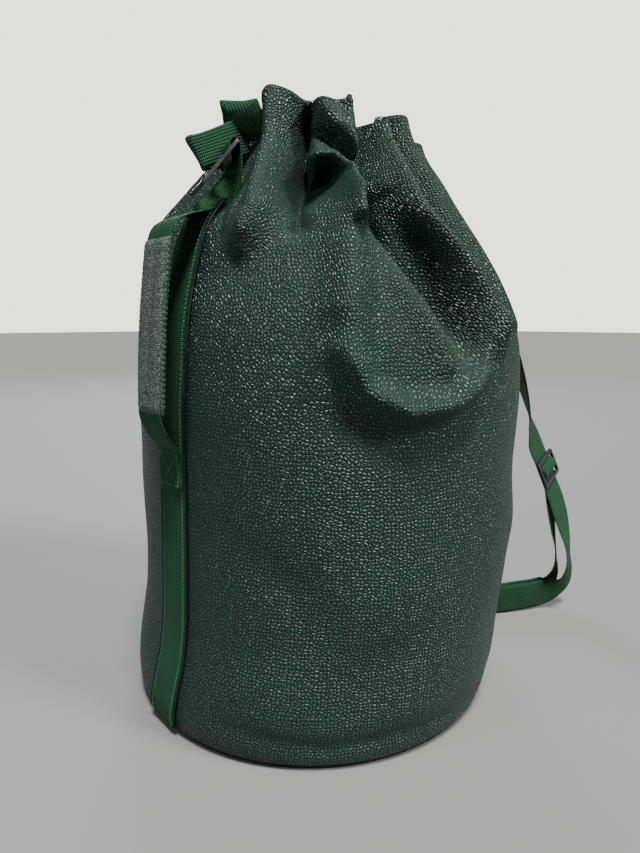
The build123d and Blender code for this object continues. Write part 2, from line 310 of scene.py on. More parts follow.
def thread(name, colour, sheen=0.2):
    """Sewing thread or narrow binding, with the twist of its plies."""
    material, nodes, links = new_material(name)
    shader = set_shader(nodes, 0.6, specular=0.25, sheen=sheen)
    where = nodes.new("ShaderNodeTexCoord").outputs["Object"]
    ply = noise(nodes, links, where, 2500, 2)
    tone = ramp(nodes, links, ply, [(0.35, shade(colour, 0.55)), (0.65, colour)])
    links.new(tone, shader.inputs["Base Color"])
    links.new(bump(nodes, links, ply, 0.0001, 0.7), shader.inputs["Normal"])
    return material


def plastic(name, colour):
    """Moulded plastic, a little worn."""
    material, nodes, links = new_material(name)
    shader = set_shader(nodes, 0.42, specular=0.5)
    where = nodes.new("ShaderNodeTexCoord").outputs["Object"]
    mould = noise(nodes, links, where, 1800, 3)
    wear = noise(nodes, links, where, 120, 4)
    tone = ramp(nodes, links, wear, [(0.35, colour), (0.75, shade(colour, 1.9))])
    links.new(tone, shader.inputs["Base Color"])
    gloss = ramp(nodes, links, wear, [(0.3, grey(0.34)), (0.7, grey(0.55))])
    links.new(gloss, shader.inputs["Roughness"])
    links.new(bump(nodes, links, mould, 0.00008, 0.5), shader.inputs["Normal"])
    return material


# Colour of the grain's tops and the painted shade of its creases, size and depth of one grain,
# roughness.
BODY_GRAIN = ((0.005, 0.048, 0.032), (0.0001, 0.001, 0.0006), 3.1 * MM, 0.0009, 0.31)
# The grip's top colour is its leather lightened to grey: painted sheen over the leather's own
# colour.
GRIP_GRAIN_AND_SHEEN = ((0.105, 0.130, 0.120), (0.014, 0.024, 0.021), 1.8 * MM, 0.0004, 0.42)
WEBBING_RIB, WEBBING_PICK = 3.0 * MM, 2.6 * MM
# The webbing's colour down in the hollows between its ribs is painted shade; the other is its rib
# tops.
WEBBING_HOLLOW_SHADE, WEBBING_LIGHT = (0.0006, 0.006, 0.003), (0.008, 0.098, 0.034)

GREEN_LEATHER = leather("green_leather", *BODY_GRAIN, flat_pattern=True)
BASE_LEATHER = leather("base_leather", *BODY_GRAIN)
GRIP_LEATHER = leather("grip_leather", *GRIP_GRAIN_AND_SHEEN)
DARK_SUEDE = suede("dark_suede", (0.016, 0.020, 0.018))
GREEN_WEBBING = woven("green_webbing", WEBBING_HOLLOW_SHADE, WEBBING_LIGHT, WEBBING_RIB, WEBBING_PICK)
GREEN_THREAD = thread("green_thread", (0.030, 0.19, 0.085))
BLACK_THREAD = thread("black_thread", (0.010, 0.012, 0.011))
BLACK_PLASTIC = plastic("black_plastic", (0.010, 0.010, 0.011))
# Near-black binding and piping; beside the side webbing its darkness paints the shadow in the
# seam's gap.
BLACK_BINDING_AND_GAP_SHADOW = thread("black_binding", (0.004, 0.005, 0.005), sheen=0.0)


# ---------------------------------------------------------------- mesh helpers
BAND_STEP = 2.5 * MM
ROPE_STEP = 2.0 * MM
ROPE_SIDES = 8


def smooth_path(points, step):
    """A smooth curve through the points, sampled about every step."""
    points = np.array(points, float)
    ends = np.vstack([2 * points[0] - points[1], points, 2 * points[-1] - points[-2]])
    out = []
    for before, start, stop, after in zip(ends, ends[1:], ends[2:], ends[3:]):
        count = max(3, int(np.linalg.norm((stop - start)[:3]) / step))
        for t in np.linspace(0, 1, count, endpoint=False):
            out.append(
                0.5 * (2 * start + (stop - before) * t
                       + (2 * before - 5 * start + 4 * stop - after) * t**2
                       + (3 * start - before - 3 * stop + after) * t**3)
            )
    out.append(ends[-2])
    return np.array(out)


def unit(v):
    """v scaled to length 1 along its last axis."""
    return v / np.maximum(np.linalg.norm(v, axis=-1, keepdims=True), 1e-12)


def mesh_object(name, points, faces, materials, uvs=None):
    """A smooth-shaded mesh, with uvs given point by point."""
    mesh = bpy.data.meshes.new(name)
    mesh.from_pydata([tuple(p) for p in points], [], faces)
    mesh.polygons.foreach_set("use_smooth", [True] * len(mesh.polygons))
    for material in materials:
        mesh.materials.append(material)
    if uvs is not None:
        layer = mesh.uv_layers.new(name="along_across")
        index = np.empty(len(mesh.loops), int)
        mesh.loops.foreach_get("vertex_index", index)
        layer.data.foreach_set("uv", np.asarray(uvs)[index].ravel())
    mesh.validate()
    obj = bpy.data.objects.new(name, mesh)
    bpy.context.collection.objects.link(obj)
    return obj


def ring_faces(rings, around, closed_ends=True):
    """Faces between rings of points, each ring closed on itself."""
    faces = []
    for i in range(rings - 1):
        for j in range(around):
            k = (j + 1) % around
            low, high = i * around, (i + 1) * around
            faces.append((low + j, low + k, high + k, high + j))
    if closed_ends:
        faces.append(tuple(reversed(range(around))))
        faces.append(tuple((rings - 1) * around + j for j in range(around)))
    return faces


def band(name, path, sides, width, thick, step=BAND_STEP):
    """A flat band of webbing along path whose width runs along sides, with rounded edges."""
    both = smooth_path(np.hstack([np.array(path, float), np.array(sides, float)]), step)
    centre, side = both[:, :3], both[:, 3:]
    tangent = unit(np.gradient(centre, axis=0))
    side = unit(side - tangent * np.sum(side * tangent, axis=1, keepdims=True))
    normal = np.cross(tangent, side)
    run = np.concatenate([[0], np.cumsum(np.linalg.norm(np.diff(centre, axis=0), axis=1))])
    steps = np.linspace(-1, 1, 11)
    crown = np.clip(1 - np.abs(steps) ** 14, 0.25, 1)
    across = np.concatenate([steps, steps[::-1]])
    lift = np.concatenate([crown, -crown[::-1]])
    points, uvs = [], []
    for c, s, n, u in zip(centre, side, normal, run):
        for a, h in zip(across, lift):
            points.append(c + s * a * width / 2 + n * h * thick / 2)
            uvs.append((u, a * width / 2))
    faces = ring_faces(len(centre), len(across))
    return mesh_object(name, points, faces, [GREEN_WEBBING], uvs)


def rope(name, path, radius, material, closed=False):
    """A round cord along the path."""
    centre = smooth_path(path, ROPE_STEP)
    tangent = unit(np.gradient(centre, axis=0))
    side = unit(np.cross(tangent, (0.13, 0.21, 0.97)))
    other = np.cross(tangent, side)
    turn = np.linspace(0, 2 * pi, ROPE_SIDES, endpoint=False)
    points = []
    for c, s, o in zip(centre, side, other):
        points.extend(c + radius * (s * cos(t) + o * sin(t)) for t in turn)
    return mesh_object(name, points, ring_faces(len(centre), ROPE_SIDES, not closed), [material])


def stitches(name, centre, normal, length, gap, radius, material, zigzag=0.0, side=None):
    """Short threads laid along a line of close points, each dipping in at its ends."""
    run = np.concatenate([[0], np.cumsum(np.linalg.norm(np.diff(centre, axis=0), axis=1))])
    count = int(run[-1] / (length + gap))
    turn = np.linspace(0, 2 * pi, 6, endpoint=False)
    points, faces = [], []
    for i in range(count):
        begin = (i + 0.5) * run[-1] / count - length / 2
        ends = []
        for t in np.linspace(0, 1, 5):
            at = begin + length * t
            place = np.array([np.interp(at, run, centre[:, k]) for k in range(3)])
            out = np.array([np.interp(at, run, normal[:, k]) for k in range(3)])
            if zigzag:
                over = np.array([np.interp(at, run, side[:, k]) for k in range(3)])
                place = place + over * zigzag * (2 * t - 1) * (1 if i % 2 else -1)
            ends.append((place + out * radius * (1.6 * sin(pi * t) - 0.5), out))
        ends_place = np.array([e[0] for e in ends])
        tangent = unit(np.gradient(ends_place, axis=0))
        base = len(points)
        for (place, out), along in zip(ends, tangent):
            over = unit(np.cross(along, out))
            up = np.cross(over, along)
            points.extend(place + radius * (over * cos(a) + up * sin(a)) for a in turn)
        faces.extend(tuple(base + v for v in f) for f in ring_faces(len(ends), len(turn)))
    return mesh_object(name, points, faces, [material])


def stand_in(piece, node, body):
    """Hide the CAD node a piece replaces and hang the piece on the body it rides on."""
    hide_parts(node)
    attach(piece, body)


# ---------------------------------------------------------------- the bag's outside surface
def node_points(node):
    return np.array([v.co for v in frame["nodes"][node].data.vertices], float)


# A level of the CAD leather with more points than this is a full section of it.
FULL_SECTION = 150


def half_sizes():
    """Heights, half widths across the seams and half depths of the CAD leather."""
    points = node_points("front_panel")
    heights, widths, depths = [], [], []
    for z in np.unique(points[:, 2].round(4)):
        level = points[np.abs(points[:, 2] - z) < 2e-4]
        if len(level) > FULL_SECTION:
            heights.append(z)
            widths.append(np.abs(level[:, 0]).max())
            depths.append(np.abs(level[:, 1]).max())
    return np.array(heights), np.array(widths), np.array(depths)


HEIGHTS, WIDTHS, DEPTHS = half_sizes()
# The gathers keep at least the spacing they have on this radius.
RIM_SPREAD = 80 * MM
# Height and sideways lean of the full bag, millimetres: it leans a little at its foot and neck.
SIDEWAYS = np.array([0.731, -0.682, 0.0])
LEAN = [
    (0, -10), (60, -5), (140, 0), (300, 0), (360, 5),
    (400, 0), (460, -10), (510, -5), (550, 0), (600, 0),
]

# Rim height by bearing: two high corners at the seams and the turned-up ends of the gathers.
RIM = [
    (0, 545), (5, 555), (10, 560), (20, 560), (30, 555), (50, 550), (60, 550), (65, 550), (70, 540),
    (75, 535), (85, 540), (90, 545), (100, 545), (110, 535), (125, 530), (140, 540), (155, 535),
    (170, 545), (180, 550), (195, 540), (215, 535), (235, 540), (255, 535), (275, 540), (295, 535),
    (315, 545), (335, 550), (350, 555), (360, 545),
]

# The gathers, from the handle seam round: height in mm (less than 0 is a valley), reach in mm
# and a line of (bearing, height, strength) points down the fold.
FOLDS = [
    (19, 12, [(15, 580, 0.9), (20, 545, 1), (25, 500, 1), (30, 460, 1), (25, 430, 0.4)]),
    (6, 16, [(15, 450, 0.5), (30, 440, 1), (45, 460, 0.4)]),
    (-9, 9, [(5, 500, 1), (10, 470, 1), (15, 440, 0.4)]),
    (-38, 9, [(35, 560, 0.3), (35, 535, 0.9), (38, 510, 1), (40, 480, 1), (42, 445, 0.6)]),
    (-28, 12, [(40, 490, 0.7), (46, 470, 1), (54, 485, 1)]),
    (-10, 20, [(40, 450, 1), (30, 420, 0.8), (20, 395, 0.2)]),
    (12, 9, [(45, 560, 0.5), (50, 545, 1), (58, 530, 1), (66, 510, 0.9)]),
    (-16, 5, [(46, 525, 0.5), (54, 520, 1), (60, 510, 1), (65, 495, 1), (66, 465, 0.5)]),
    (24, 7, [(44, 500, 0.9), (54, 500, 1), (60, 490, 1), (60, 450, 0.8)]),
    (19, 15, [(60, 465, 1), (55, 420, 1), (52, 380, 1), (52, 345, 0.6)]),
    (8, 12, [(65, 420, 0.3), (70, 380, 1), (74, 340, 0.8)]),
    (16, 10, [(50, 350, 0.5), (56, 320, 0.9), (65, 305, 1),
              (75, 310, 1), (85, 335, 1), (90, 370, 0.6)]),
    (-5, 16, [(50, 300, 0.5), (65, 275, 1), (85, 295, 0.6)]),
    (-36, 9, [(72, 545, 0.7), (70, 510, 1), (68, 475, 1), (70, 440, 0.9)]),
    (-34, 16, [(70, 455, 0.9), (75, 415, 1), (80, 375, 1), (84, 345, 0.6)]),
    (-14, 9, [(76, 470, 0.5), (80, 430, 1), (84, 390, 0.9), (86, 355, 0.6)]),
    (15, 7, [(60, 565, 1), (65, 535, 1), (66, 510, 1), (63, 470, 0.6)]),
    (-12, 4, [(66, 560, 1), (68, 545, 1), (72, 535, 0.6)]),
    (20, 9, [(80, 560, 0.8), (80, 510, 1), (82, 465, 1),
             (88, 420, 1), (92, 375, 0.8), (92, 345, 0.3)]),
    (-15, 5, [(90, 560, 0.6), (94, 500, 1), (95, 455, 1), (98, 410, 0.8), (100, 370, 0.4)]),
    (14, 11, [(100, 565, 1), (100, 500, 1), (104, 440, 0.9), (106, 370, 0.4)]),
    (-14, 8, [(110, 565, 1), (110, 500, 1), (114, 440, 0.8), (116, 390, 0.2)]),
    (13, 12, [(120, 565, 1), (120, 500, 1), (125, 430, 0.7), (125, 380, 0.2)]),
    (-15, 9, [(132, 565, 1), (132, 500, 1), (136, 440, 0.4)]),
    (13, 12, [(144, 565, 1), (144, 500, 1), (148, 440, 0.8), (150, 400, 0.2)]),
    (-14, 8, [(156, 565, 1), (156, 500, 1), (160, 450, 0.3)]),
    (-13, 75, [(140, 20, 0.7), (140, 140, 1), (135, 250, 0.7), (135, 300, 0.2)]),
    (-3, 26, [(80, 135, 0.5), (65, 100, 1), (55, 65, 0.7)]),
    (-3, 24, [(20, 200, 0.4), (40, 160, 1), (52, 100, 0.4)]),
    (3, 24, [(90, 240, 0.4), (110, 190, 1), (130, 170, 0.5)]),
    (-3, 20, [(120, 320, 0.5), (135, 270, 1), (150, 260, 0.4)]),
    (-2.5, 9, [(20, 35, 0.7), (50, 25, 1), (80, 30, 1), (110, 35, 0.6)]),
    (13, 13, [(200, 565, 1), (200, 500, 1), (200, 430, 0.3)]),
    (-16, 9, [(212, 565, 1), (210, 500, 1), (206, 440, 0.8), (202, 400, 0.2)]),
    (14, 13, [(225, 565, 1), (224, 500, 1), (220, 430, 0.8), (222, 370, 0.2)]),
    (-17, 10, [(240, 565, 1), (238, 500, 1), (240, 430, 1), (246, 370, 0.7), (250, 330, 0.1)]),
    (15, 14, [(252, 565, 1), (252, 500, 1), (258, 430, 0.9), (266, 370, 0.3)]),
    (-15, 9, [(264, 565, 1), (264, 500, 1), (270, 440, 0.4)]),
    (14, 12, [(278, 565, 1), (278, 500, 1), (282, 420, 0.8), (280, 350, 0.3)]),
    (-16, 10, [(290, 565, 1), (290, 500, 1), (294, 430, 0.9), (300, 380, 0.3)]),
    (14, 12, [(304, 565, 1), (304, 500, 1), (310, 430, 0.8), (316, 370, 0.3)]),
    (-15, 9, [(318, 565, 1), (318, 500, 1), (324, 440, 0.4)]),
    (13, 12, [(330, 565, 1), (330, 500, 1), (336, 440, 0.8), (334, 390, 0.2)]),
    (-13, 9, [(344, 565, 1), (344, 500, 1), (350, 450, 0.4)]),
    (-3, 26, [(220, 250, 0.4), (250, 190, 1), (280, 170, 0.4)]),
    (3, 26, [(290, 270, 0.4), (320, 220, 1), (340, 150, 0.4)]),
]


def curve(x, points):
    """A smooth curve through (x, y) points."""
    xs, ys = np.array(points, float).T
    slopes = np.gradient(ys, xs)
    x = np.clip(x, xs[0], xs[-1])
    i = np.clip(np.searchsorted(xs, x) - 1, 0, len(xs) - 2)
    h = xs[i + 1] - xs[i]
    t = (x - xs[i]) / h
    return (
        (2 * t**3 - 3 * t**2 + 1) * ys[i] + (t**3 - 2 * t**2 + t) * h * slopes[i]
        + (3 * t**2 - 2 * t**3) * ys[i + 1] + (t**3 - t**2) * h * slopes[i + 1]
    )


def round_radius(bearing, z):
    """Distance of the smooth bag from its axis."""
    a = curve(z, list(zip(HEIGHTS, WIDTHS)))
    b = curve(z, list(zip(HEIGHTS, DEPTHS)))
    angle = np.radians(bearing)
    return a * b / np.sqrt((b * np.cos(angle)) ** 2 + (a * np.sin(angle)) ** 2)


def near_seam(bearing, reach):
    """1 on a side seam, falling to 0 away from it."""
    away = np.minimum(np.abs((bearing + 180) % 360 - 180), np.abs(bearing % 360 - 180))
    return np.exp(-((away / reach) ** 2))


def fold_height(bearing, z, radius):
    """How far the gathers stand out from the smooth bag."""
    total = np.zeros(np.broadcast(bearing, z).shape)
    for height, reach, line in FOLDS:
        nearest = np.full(total.shape, 1e9)
        weight = np.zeros(total.shape)
        for (b0, z0, strong), (b1, z1, next_strong) in zip(line, line[1:]):
            across = np.radians(b1 - b0) * radius
            up = (z1 - z0) * MM
            du = np.radians((bearing - b0 + 180) % 360 - 180) * radius
            dz = z - z0 * MM
            t = np.clip((du * across + dz * up) / (across**2 + up**2), 0, 1)
            away = np.hypot(du - t * across, dz - t * up)
            closer = away < nearest
            nearest = np.where(closer, away, nearest)
            weight = np.where(closer, strong + (next_strong - strong) * t, weight)
        total = total + height * MM * weight * np.exp(-((nearest / (reach * MM)) ** 2))
    return total


# Below this height the leather turns in towards the seam with the base.
FOOT_HEIGHT, FOOT_TUCK = 9 * MM, 7 * MM


def skin(bearing, z, folds=1.0):
    """Points on the outside of the leather; folds 0 leaves the gathers out."""
    bearing, z = np.broadcast_arrays(np.asarray(bearing, float), np.asarray(z, float))
    radius = round_radius(bearing, z)
    keep = 1 - near_seam(bearing, 9)
    standing = fold_height(bearing, z, np.maximum(radius, RIM_SPREAD)) * keep * folds
    foot = np.clip(1 - z / FOOT_HEIGHT, 0, 1)
    radius = radius + standing - FOOT_TUCK * foot**2
    held = near_seam(bearing, 22) * np.clip((z - 0.02) / 0.05, 0, 1)
    lean = curve(z / MM, LEAN) * MM * (1 - held)
    angle = np.radians(bearing)
    around = np.stack([-np.cos(angle) * radius, -np.sin(angle) * radius, z + 0 * radius], axis=-1)
    return around + SIDEWAYS * lean[..., None]


def skin_normal(bearing, z):
    """Outward direction of the leather."""
    along = skin(bearing + 0.2, z) - skin(bearing - 0.2, z)
    up = skin(bearing, z + 1 * MM) - skin(bearing, z - 1 * MM)
    return unit(np.cross(along, up))


def seam_point(side, z, stand_off):
    """A point on a side seam at height z, stand_off outside the leather.  side is -1 at the
    handle seam, which the handle pulls a little to the front, and 1 at the strap seam."""
    bearing = 0 if side < 0 else 180
    slope = skin(bearing, z + 2 * MM) - skin(bearing, z - 2 * MM)
    out = unit(np.array([side * slope[2], 0, -side * slope[0]]))
    drift = -7 * MM * np.exp(-(((z - 0.345) / 0.075) ** 2)) if side < 0 else 0.0
    return skin(bearing, z) + out * stand_off + np.array([0, drift, 0])


# ---------------------------------------------------------------- leather panels
PANEL_COLUMNS = 300
PANEL_ROWS = 230
PANEL_FOOT = 0.5 * MM
SEAM_GAP = 0.35
# The hem at the rim: radius of its roll, and how far it is turned down inside.
HEM_ROLL = 3.2 * MM
HEM_DEPTH = 36 * MM
# The channel's open ends at the seams: where they begin and over what height they open, and, in
# degrees of bearing, how far they open and how far the turned-in end stands out of line.
CHANNEL_FOOT = 508 * MM
CHANNEL_RISE = 55 * MM
CHANNEL_GAPE = 10.0
CHANNEL_FLAP = 6.0

# Bearings of the deepest valleys: between each two the grain is laid out as one flat piece, set
# out round a circle of this radius.
GRAIN_CUTS = np.array([0, 39, 70, 94, 111, 133, 157, 180, 211, 239, 264, 291, 318, 344, 360.0])
BODY_RADIUS = 188 * MM


def grain_layout(outside, bearing, z, rows):
    """Flat (u, v) of the corners of every face of a panel, in metres, four to a face.  The rows
    past the outside's own are the hem's."""
    radius = (curve(z, list(zip(HEIGHTS, WIDTHS))) + curve(z, list(zip(HEIGHTS, DEPTHS)))) / 2
    steps = np.linalg.norm(np.diff(outside, axis=1), axis=2)
    along = np.hstack([0 * steps[:, :1], np.cumsum(steps, axis=1)])
    climb = np.hypot(np.diff(radius, axis=0), np.diff(z, axis=0))
    up = np.vstack([0 * climb[:1], np.cumsum(climb, axis=0)])
    extra = rows - len(z)
    bearing, along = (
        np.vstack([grid, np.tile(grid[-1:], (extra, 1))]) for grid in (bearing, along)
    )
    up = np.vstack([up, up[-1:] + np.arange(1, extra + 1)[:, None] * 2.0 * MM])
    centre = (bearing[:-1, :-1] + bearing[1:, 1:]) / 2
    piece = np.clip(np.searchsorted(GRAIN_CUTS, centre) - 1, 0, len(GRAIN_CUTS) - 2)
    middles = (GRAIN_CUTS[:-1] + GRAIN_CUTS[1:]) / 2
    start = np.array([np.interp(middles, b, a) for b, a in zip(bearing, along)])
    corners = []
    for i, j in ((0, 0), (0, 1), (1, 1), (1, 0)):
        here = (slice(i, i + rows - 1), slice(j, j + bearing.shape[1] - 1))
        offset = np.take_along_axis(start[i:i + rows - 1], piece, axis=1)
        across = np.radians(middles[piece]) * BODY_RADIUS + along[here] - offset
        corners.append(np.stack([across, up[here]], axis=-1))
    return np.stack(corners, axis=2).reshape(-1, 4, 2)


def nearly_level(normal):
    """The direction of a normal with most of its rise taken out."""
    return unit(normal * (1, 1, 0.3))


def hem_rows(top, out, bearing, rim):
    """The rows of points past the rim: over the roll, then down inside the leather."""
    rise = np.array([0, 0, 1.0])
    rows = []
    for turn in np.linspace(0, pi, 9)[1:]:
        rows.append(top - out * HEM_ROLL + HEM_ROLL * (out * cos(turn) + rise * sin(turn)))
    for fall in np.linspace(0, 1, 16)[1:]:
        under = rim - HEM_DEPTH * fall
        at_gape = np.exp(-(((bearing % 360) - CHANNEL_GAPE) / 7) ** 2)
        turned = bearing - CHANNEL_FLAP * at_gape * (1 - fall)
        out = nearly_level(skin_normal(turned, under))
        rows.append(skin(turned, under) + out * -2 * HEM_ROLL)
    return rows


def make_panel(name, first, last, nodes):
    """One leather panel from seam to seam with its top turned in as the drawstring channel."""
    u = np.linspace(0, 1, PANEL_COLUMNS)
    middle = first + (last - first) * u
    rim = curve(middle % 360.001, RIM) * MM
    v = np.linspace(0, 1, PANEL_ROWS)[:, None]
    z = PANEL_FOOT + (rim[None, :] - PANEL_FOOT) * v
    open_end = np.clip((z - CHANNEL_FOOT) / CHANNEL_RISE, 0, 1) ** 1.3 * CHANNEL_GAPE
    start, stop = first + SEAM_GAP + open_end, last - SEAM_GAP - open_end
    bearing = start + (stop - start) * u[None, :]
    outside = skin(bearing, z)
    facing = np.cross(np.gradient(outside, axis=1), np.gradient(outside, axis=0))
    angle = np.radians(bearing)
    from_axis = np.stack([-np.cos(angle), -np.sin(angle), 0 * bearing], -1)
    normal = unit(facing)
    normal *= np.sign(np.sum(normal * from_axis, axis=-1, keepdims=True))
    rows = [*outside, *hem_rows(outside[-1], nearly_level(normal[-1]), bearing[-1], z[-1])]
    points = np.concatenate(rows)
    count = len(rows)
    sample = (50, 150)
    inside_out = facing[sample] @ from_axis[sample] < 0
    layout = grain_layout(outside, bearing, z + 0 * bearing, count)
    if inside_out:
        layout = layout[:, ::-1]
    faces = []
    for i in range(count - 1):
        for j in range(PANEL_COLUMNS - 1):
            a = i * PANEL_COLUMNS + j
            face = (a, a + 1, a + 1 + PANEL_COLUMNS, a + PANEL_COLUMNS)
            faces.append(face[::-1] if inside_out else face)
    panel = mesh_object(name, points, faces, [GREEN_LEATHER, DARK_SUEDE])
    panel.data.uv_layers.new(name="grain").data.foreach_set("uv", layout.ravel())
    thick = panel.modifiers.new("leather", "SOLIDIFY")
    thick.thickness = LEATHER
    thick.offset = -1
    thick.material_offset = 1
    thick.material_offset_rim = 0
    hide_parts(*nodes)
    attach(panel, "bag")


# ---------------------------------------------------------------- base
def make_disc(name, middle, outline, low, high, material):
    """A flat disc inside the outline with rounded edges."""
    third, two_thirds = low + 0.3 * (high - low), low + 0.7 * (high - low)
    rings = []
    for share, z in ((0.02, low), (0.5, low), (0.985, low), (1, third),
                     (1, two_thirds), (0.985, high), (0.5, high), (0.02, high)):
        ring = middle + (outline - middle) * share
        ring[:, 2] = z
        rings.append(ring)
    faces = ring_faces(len(rings), len(outline))
    return mesh_object(name, np.concatenate(rings), faces, [material])


def make_base():
    """A round leather base with a stiff board inside and a bound seam round its edge."""
    turn = np.linspace(0, 360, 180, endpoint=False)
    edge = skin(turn, 3 * MM, 0)
    middle = edge.mean(axis=0)
    inward = unit((middle - edge) * (1, 1, 0))
    board_low, board_high = (c.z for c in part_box("base_board"))
    leather_high = board_low - 0.3 * MM
    inset = edge + inward * 5 * MM
    sole = make_disc("base_leather", middle, inset, 0.4 * MM, leather_high, BASE_LEATHER)
    stand_in(sole, "base_panel", "bag")
    lined = edge + inward * 9 * MM
    board = make_disc("base_board_lined", middle, lined, board_low, board_high, DARK_SUEDE)
    stand_in(board, "base_board", "bag")
    welt = edge + unit((edge - middle) * (1, 1, 0)) * -1.2 * MM
    welt[:, 2] = 2.2 * MM
    loop = np.vstack([welt, welt[:1]])
    piping = rope("base_welt_piping", loop[::4], 1.9 * MM, BLACK_BINDING_AND_GAP_SHADOW, closed=True)
    stand_in(piping, "base_welt", "bag")


# ---------------------------------------------------------------- side seams
# Stitches: length, gap and radius of the thread.
SEAM_STITCH = (2.6 * MM, 1.0 * MM, 0.32 * MM)
BOX_STITCH = (2.4 * MM, 0.9 * MM, 0.33 * MM)
GRIP_STITCH = (2.4 * MM, 1.1 * MM, 0.33 * MM)
EDGE_ZIGZAG = (1.9 * MM, 0.25 * MM, 0.3 * MM)
# How far outside the leather each layer of a seam lies.
BINDING_STAND, WEBBING_STAND, STITCH_STAND = 0.7 * MM, 1.2 * MM, 2.1 * MM


def make_side(name, side, node, tape_node):
    """The webbing sewn up a side seam, its two rows of stitching and a near-black binding cord
    along each edge of the webbing in place of the CAD's seam tape; the cords paint the shadow in
    the gap between webbing and leather.
    """
    low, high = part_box(node)
    heights = np.linspace(low.z, high.z, 28)
    path = np.array([seam_point(side, z, WEBBING_STAND) for z in heights])
    sides = np.tile((0.0, 1.0, 0.0), (len(path), 1))
    webbing = band(name, path, sides, WEBBING, WEBBING_THICK)
    stand_in(webbing, node, "bag")
    for word, lateral in (("front", -1), ("back", 1)):
        heights = np.linspace(low.z, high.z, 160)
        line = np.array([seam_point(side, z, STITCH_STAND) for z in heights])
        line[:, 1] += lateral * (WEBBING / 2 - 2.6 * MM)
        out = unit(np.gradient(line, axis=0))
        normal = np.stack([side * out[:, 2], 0 * out[:, 0], -side * out[:, 0]], -1)
        row = stitches(f"{name}_stitch_{word}", line, normal, *SEAM_STITCH, GREEN_THREAD)
        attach(row, "bag")
        # A binding cord along each edge of the webbing, near black, which paints the shadow in the
        # gap between the webbing and the leather.
        heights = np.linspace(low.z, high.z, 60)
        edge = np.array([seam_point(side, z, BINDING_STAND) for z in heights])
        edge[:, 1] += lateral * (WEBBING / 2 + 1.6 * MM)
        binding_and_gap_shadow = rope(f"{name}_binding_{word}", edge, 1.1 * MM, BLACK_BINDING_AND_GAP_SHADOW)
        if word == "front":
            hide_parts(tape_node)
        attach(binding_and_gap_shadow, "bag")


# ---------------------------------------------------------------- carry handle
ACROSS = (0.0, 1.0, 0.0)
FOOT = Vector(JOINTS["handle_swing"]["pos_m"])
GRIP_DRIFT = -5 * MM
GRIP_THICK = 10.4 * MM
GRIP_BOW = 2.2 * MM

# (x, z) stations of the handle's webbing below and above the grip, and the heights on the seam
# where its ends are sewn down, all in millimetres.
HANDLE_FOOT_HEIGHTS = (228, 240, 251, 261)
HANDLE_BELOW_GRIP = [(FOOT.x / MM, FOOT.z / MM), (-198.5, 291), (-198.0, 304), (-196.5, 330)]
HANDLE_ABOVE_GRIP = [(-187.5, 392), (-184.5, 420), (-183.5, 434), (-178, 446), (-165, 453.5)]
HANDLE_HEAD_HEIGHTS = (459, 465, 470)


def in_plane(points, y):
    """Points given as (x, z) in millimetres, in the upright plane at y."""
    return np.array([(x * MM, y, z * MM) for x, z in points])


def grip_section(across):
    """Half thickness of the grip, 0 at its edges and two padded lobes with a sewn valley."""
    lobes = np.abs(np.sin(pi * np.clip(np.abs(across) / 0.84, 0, 1))) ** 0.55
    edge = np.clip((1 - np.abs(across)) / 0.05, 0, 1) ** 0.5
    return 0.14 * edge + 0.86 * lobes


def make_handle_webbing():
    """The handle's two ends: sewn to the seam, then free as far as the grip."""
    sewn = [seam_point(-1, z * MM, 3.3 * MM) for z in HANDLE_FOOT_HEIGHTS]
    path = np.vstack([sewn, in_plane(HANDLE_BELOW_GRIP, GRIP_DRIFT)])
    lower = band("handle_lower_webbing", path, [ACROSS] * len(path), WEBBING, WEBBING_THICK)
    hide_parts("handle_lower_end")
    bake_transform(lower)
    sewn = [seam_point(-1, z * MM, 3.4 * MM) for z in HANDLE_HEAD_HEIGHTS]
    path = np.vstack([in_plane(HANDLE_ABOVE_GRIP, GRIP_DRIFT), sewn])
    upper = band("handle_upper_webbing", path, [ACROSS] * len(path), WEBBING, WEBBING_THICK)
    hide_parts("handle_upper_end", "handle_webbing")
    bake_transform(upper)


